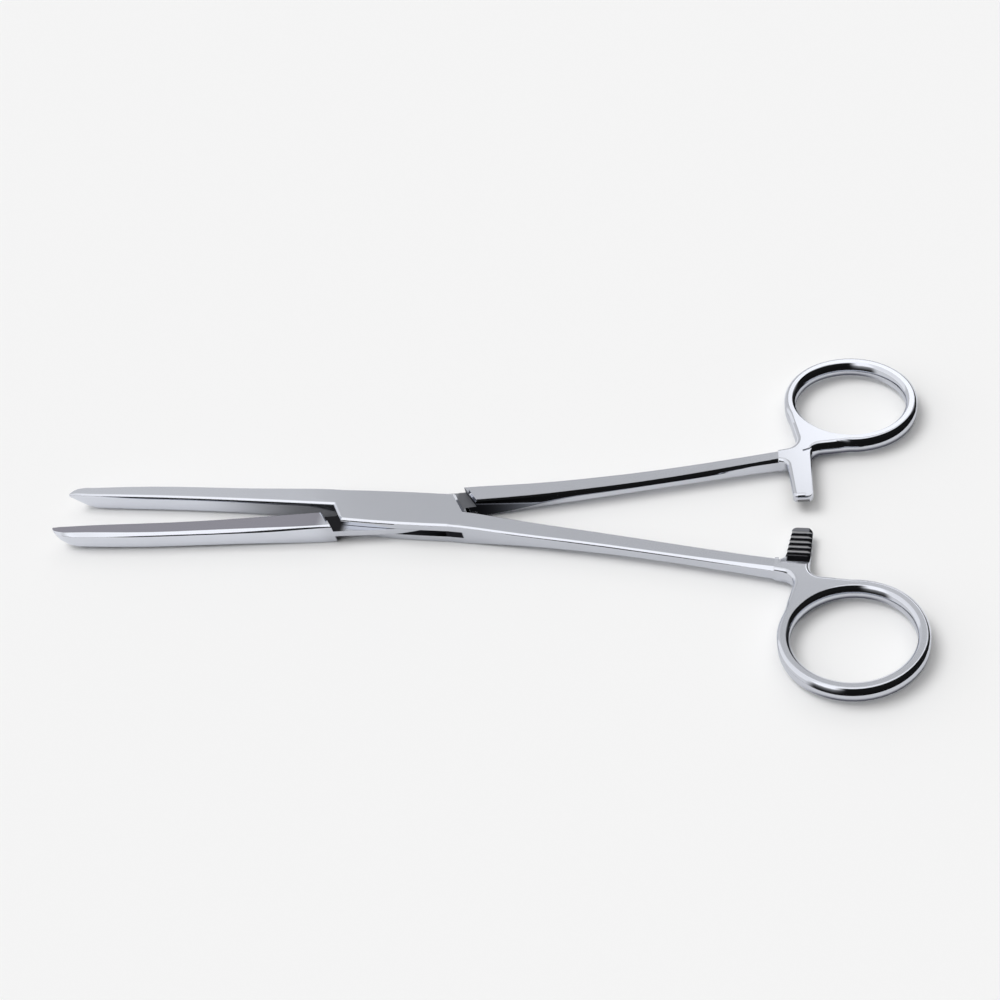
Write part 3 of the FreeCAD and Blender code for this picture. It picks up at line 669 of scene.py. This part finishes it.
def eased_facing(tree):
    """The facing in the piece's own directions, rounded at edges and exact on the flats."""
    plain = add_node(tree, "ShaderNodeTexCoord").outputs["Normal"]
    eased = add_node(tree, "ShaderNodeBevel", samples=EDGE_SAMPLES)
    eased.inputs["Radius"].default_value = EDGE_EASE
    unturn = add_node(tree, "ShaderNodeVectorTransform", vector_type="NORMAL",
                      convert_from="WORLD", convert_to="OBJECT")
    tree.links.new(eased.outputs["Normal"], unturn.inputs["Vector"])
    off_flat = soft_rise(tree, unsigned(tree, split(tree, plain)["Z"]), *OFF_FLAT)
    facing = mix(tree, "VECTOR", off_flat, plain, unturn.outputs["Vector"])
    true_facing = add_node(tree, "ShaderNodeNewGeometry").outputs["True Normal"]
    true_height = split(tree, true_facing)["Z"]
    level = add_node(tree, "ShaderNodeCombineXYZ")
    tree.links.new(calculate(tree, "SIGN", true_height), level.inputs["Z"])
    is_level = soft_rise(tree, unsigned(tree, true_height), *TRULY_LEVEL)
    return mix(tree, "VECTOR", is_level, facing, level.outputs["Vector"])


# %% [markdown]
# ## Tints and painted shade
# The steel is a cool grey with a faint cloudiness. The limbs' sides get a painted shade, a little
# darker than the flats. Low down on the rods, on the side of the shadow, the painted shade is
# darkest. The near jaw's top is painted a darker tone.

# %% The steel's tints
STEEL_GREY = 0.76
DULL = (0.945, 0.972, 1.05)
BRIGHT = (1.0, 1.03, 1.12)
JAW_TOP_TONES = (1.0, 0.985, 1.12)
CLOUD_SCALE = 90.0
CLOUD_DETAIL = 4.0
# Near black: painted shade for the teeth, the tongue in the lock's gaps, the slot and the inner
# walls beside the box.
PAINTED_SHADE_BLACK = (0.03, 0.03, 0.034, 1)
TOOTH_WALL_TINT = (0.7, 0.7, 0.72, 1)
# Painted shade: the sides are darker, and darkest low on the rods' shadow side.
SHANK_SIDE_SHADE = (0.78, 0.78, 0.78, 1)
JAW_SIDE_SHADE = (0.95, 0.95, 0.95, 1)
JAW_SIDES_FROM = (mm(-14), mm(-20))
LOW_ROD_SHADE = (0.13, 0.13, 0.15, 1)
LOW_ROD_RISE = (mm(-0.4), mm(-1.3))
LOW_ROD_FROM = (mm(84), mm(90))
SHADOW_SIDE = (0.707, -0.707, 0)
TOWARDS_SHADOW = (0.0, 0.6)
CROTCH_DARKNESS = 0.93
# The near jaw's top is painted darker by this factor.
NEAR_JAW_TONE = 0.52
JAW_TOP_FROM = (mm(-16), mm(-19))
JAW_TOP_UPRIGHT = (0.9, 0.97)


def steel_colour(grey, tones):
    """A grey turned into a colour by one tone for red, green and blue."""
    return tuple(grey * tone for tone in tones) + (1,)


def clouded_tint(tree, place):
    """The plain steel's colour, slightly cloudy."""
    cloud = add_node(tree, "ShaderNodeTexNoise")
    cloud.inputs["Scale"].default_value = CLOUD_SCALE
    cloud.inputs["Detail"].default_value = CLOUD_DETAIL
    tree.links.new(place, cloud.inputs["Vector"])
    dull = steel_colour(STEEL_GREY, DULL)
    bright = steel_colour(STEEL_GREY, BRIGHT)
    return mix(tree, "RGBA", cloud.outputs["Fac"], dull, bright)


def side_shade(tree, place, facing, upright, rise):
    """The painted shade that the colour is multiplied by: less than 1 on the sides, least low on
    the rods.
    """
    along = split(tree, place)["X"]
    on_jaws = soft_rise(tree, along, *JAW_SIDES_FROM)
    on_sides = mix(tree, "RGBA", on_jaws, SHANK_SIDE_SHADE, JAW_SIDE_SHADE)
    shade = mix(tree, "RGBA", soft_rise(tree, upright, *WALL), WHITE, on_sides)
    low_rod = product(
        tree,
        soft_rise(tree, rise, *LOW_ROD_RISE),
        soft_rise(tree, along, *LOW_ROD_FROM),
        soft_rise(tree, likeness(tree, facing, SHADOW_SIDE), *TOWARDS_SHADOW),
    )
    return mix(tree, "RGBA", low_rod, shade, LOW_ROD_SHADE)


def shaded(tree, tint, shade):
    """A colour multiplied by a shade."""
    dimmed = add_node(tree, "ShaderNodeMix", data_type="RGBA", blend_type="MULTIPLY")
    dimmed.inputs["Factor"].default_value = 1.0
    feed(tree, tint, dimmed.inputs["A"])
    feed(tree, shade, dimmed.inputs["B"])
    return dimmed.outputs["Result"]


def darker_jaw_top(tree, place, upright, tint, jaw_tone):
    """Paints the jaw's top a darker tone."""
    on_jaw_top = product(
        tree,
        soft_rise(tree, split(tree, place)["X"], *JAW_TOP_FROM),
        soft_rise(tree, upright, *JAW_TOP_UPRIGHT),
    )
    jaw_top_colour = steel_colour(STEEL_GREY * jaw_tone, JAW_TOP_TONES)
    return mix(tree, "RGBA", on_jaw_top, tint, jaw_top_colour)


# %% [markdown]
# ## Brushed grain
# Flats are brushed along the tool, which leaves fine lines. A picture of lines could be
# used, but stretched noise as a faint bump needs no picture and has no seams.

# %% Brush lines
BRUSH_STRETCH = (60.0, 2600.0, 2600.0)
BRUSH_SCALE = 1.0
BRUSH_DETAIL = 3.0
BRUSH_STRENGTH = 0.06
BRUSH_DEPTH = mm(0.02)


def brushed(tree, place, facing):
    """The facing in the room's directions, with fine lines along the tool."""
    turn = add_node(tree, "ShaderNodeVectorTransform", vector_type="NORMAL",
                    convert_from="OBJECT", convert_to="WORLD")
    tree.links.new(facing, turn.inputs["Vector"])
    stretch = add_node(tree, "ShaderNodeMapping")
    stretch.inputs["Scale"].default_value = BRUSH_STRETCH
    tree.links.new(place, stretch.inputs["Vector"])
    brush = add_node(tree, "ShaderNodeTexNoise")
    brush.inputs["Scale"].default_value = BRUSH_SCALE
    brush.inputs["Detail"].default_value = BRUSH_DETAIL
    tree.links.new(stretch.outputs["Vector"], brush.inputs["Vector"])
    bump = add_node(tree, "ShaderNodeBump")
    bump.inputs["Strength"].default_value = BRUSH_STRENGTH
    bump.inputs["Distance"].default_value = BRUSH_DEPTH
    tree.links.new(brush.outputs["Fac"], bump.inputs["Height"])
    tree.links.new(turn.outputs["Vector"], bump.inputs["Normal"])
    return bump.outputs["Normal"]


# %% [markdown]
# ## Steel
# The flats of such forceps are brushed to a satin, and the rings and edges are polished.
# Both are one steel, and what changes is how rough it is. The two halves also get their
# rounded sides, dark lines, teeth, lock and painted shades; the rivet is plain ground steel.

# %% The steel's finish
SATIN = 0.14
POLISH = 0.07
SATIN_UPRIGHT = (0.94, 0.995)
UNPOLISHED_ROUGHNESS = 0.4
PAINTED_SHADE_RIM = (0.1, 0.1, 0.1, 1)
TOOTH_WALL_ROUGHNESS = 0.3
TOOTH_WALL_LEAN = 1.0


def make_steel(name, middle=None, lean=0, jaw_tone=1, has_slot=False):
    """Stainless steel: satin where the surface lies flat, polished where it turns away."""
    steel = bpy.data.materials.new(name)
    steel.use_nodes = True
    tree = steel.node_tree
    shader = tree.nodes["Principled BSDF"]
    shader.inputs["Metallic"].default_value = 1.0
    place = add_node(tree, "ShaderNodeTexCoord").outputs["Object"]
    facing = eased_facing(tree)
    upright = unsigned(tree, split(tree, facing)["Z"])
    rise = calculate(tree, "SUBTRACT", split(tree, place)["Z"], MID_HEIGHT)
    tint = clouded_tint(tree, place)
    rough = mix(tree, "FLOAT", soft_rise(tree, upright, *SATIN_UPRIGHT), POLISH, SATIN)
    if middle:
        tooth_wall = tooth_wall_share(tree, place, facing, rise)
        crotch = crotch_share(tree, place, facing, upright)
        # Painted shade on the limbs' sides and low on the rods.
        shade = side_shade(tree, place, facing, upright, rise)
        facing = handle_facing(tree, place, facing, upright, rise)
        facing = oval_facing(tree, place, facing, upright, rise, middle, lean)
        facing = limb_facing(tree, place, facing, upright, rise)
        # Painted shade: the teeth, the tongue in the lock's gaps and the slot are painted near
        # black, and they are rougher.
        rough_and_painted_shade = calculate(tree, "MAXIMUM", milled_and_shaded_share(tree, place, upright, rise),
                               lock_shade_share(tree, place, upright, rise))
        if has_slot:
            in_slot = slot_shade_share(tree, place, rise)
            rough_and_painted_shade = calculate(tree, "MAXIMUM", rough_and_painted_shade, in_slot)
        # Painted shade on the inner walls beside the box.
        darkened = product(tree, crotch, CROTCH_DARKNESS)
        tint = shaded(tree, mix(tree, "RGBA", darkened, tint, PAINTED_SHADE_BLACK), shade)
        if jaw_tone < 1:
            # The near jaw's top is painted a darker tone.
            tint = darker_jaw_top(tree, place, upright, tint, jaw_tone)
        tint = mix(tree, "RGBA", rough_and_painted_shade, tint, PAINTED_SHADE_BLACK)
        tint = mix(tree, "RGBA", tooth_wall, tint, TOOTH_WALL_TINT)
        rough = mix(tree, "FLOAT", rough_and_painted_shade, rough, UNPOLISHED_ROUGHNESS)
        rough = mix(tree, "FLOAT", tooth_wall, rough, TOOTH_WALL_ROUGHNESS)
        # The painted shade also dims the tint of the reflections.
        rim = mix(tree, "RGBA", rough_and_painted_shade, WHITE, PAINTED_SHADE_RIM)
        tree.links.new(rim, shader.inputs["Specular Tint"])
        leant = leaning(tree, level_part(tree, facing), TOOTH_WALL_LEAN)
        facing = mix(tree, "VECTOR", tooth_wall, facing, leant)
    tree.links.new(brushed(tree, place, facing), shader.inputs["Normal"])
    tree.links.new(tint, shader.inputs["Base Color"])
    tree.links.new(rough, shader.inputs["Roughness"])
    print(name, "has", len(tree.nodes), "nodes")
    return steel


FINISHES = {
    "box_half": make_steel("forged_steel_box_half", ring_middle("near_finger_ring"),
                           RING_LEAN, has_slot=True),
    "tongue_half": make_steel("forged_steel_tongue_half", ring_middle("far_finger_ring"),
                              -RING_LEAN, jaw_tone=NEAR_JAW_TONE),
    "pivot_pin": make_steel("rivet_steel"),
}

# %% [markdown]
# ## Crisp bevels and smooth rounds
# The frame's faces meet in separate corners. They are welded, parted again only where two
# faces meet at more than the crease angle, and shaded so that large faces stay flat.

# %% Steel on the pieces
CREASE = math.radians(24)
WELD_REACH = mm(0.001)


def dress(piece, finish):
    """Gives a frame piece its finish, and smooth shading between its creases."""
    piece.data.materials.clear()
    piece.data.materials.append(finish)
    for polygon in piece.data.polygons:
        polygon.use_smooth = True
    weld = piece.modifiers.new("weld", "WELD")
    weld.merge_threshold = WELD_REACH
    crease = piece.modifiers.new("crease", "EDGE_SPLIT")
    crease.split_angle = CREASE
    crease.use_edge_sharp = False
    shade = piece.modifiers.new("shade", "WEIGHTED_NORMAL")
    shade.mode = "FACE_AREA"
    shade.keep_sharp = True
    print(piece.name, "has", len(piece.data.polygons), "faces")


for node_name, finish in FINISHES.items():
    dress(frame["nodes"][node_name], finish)
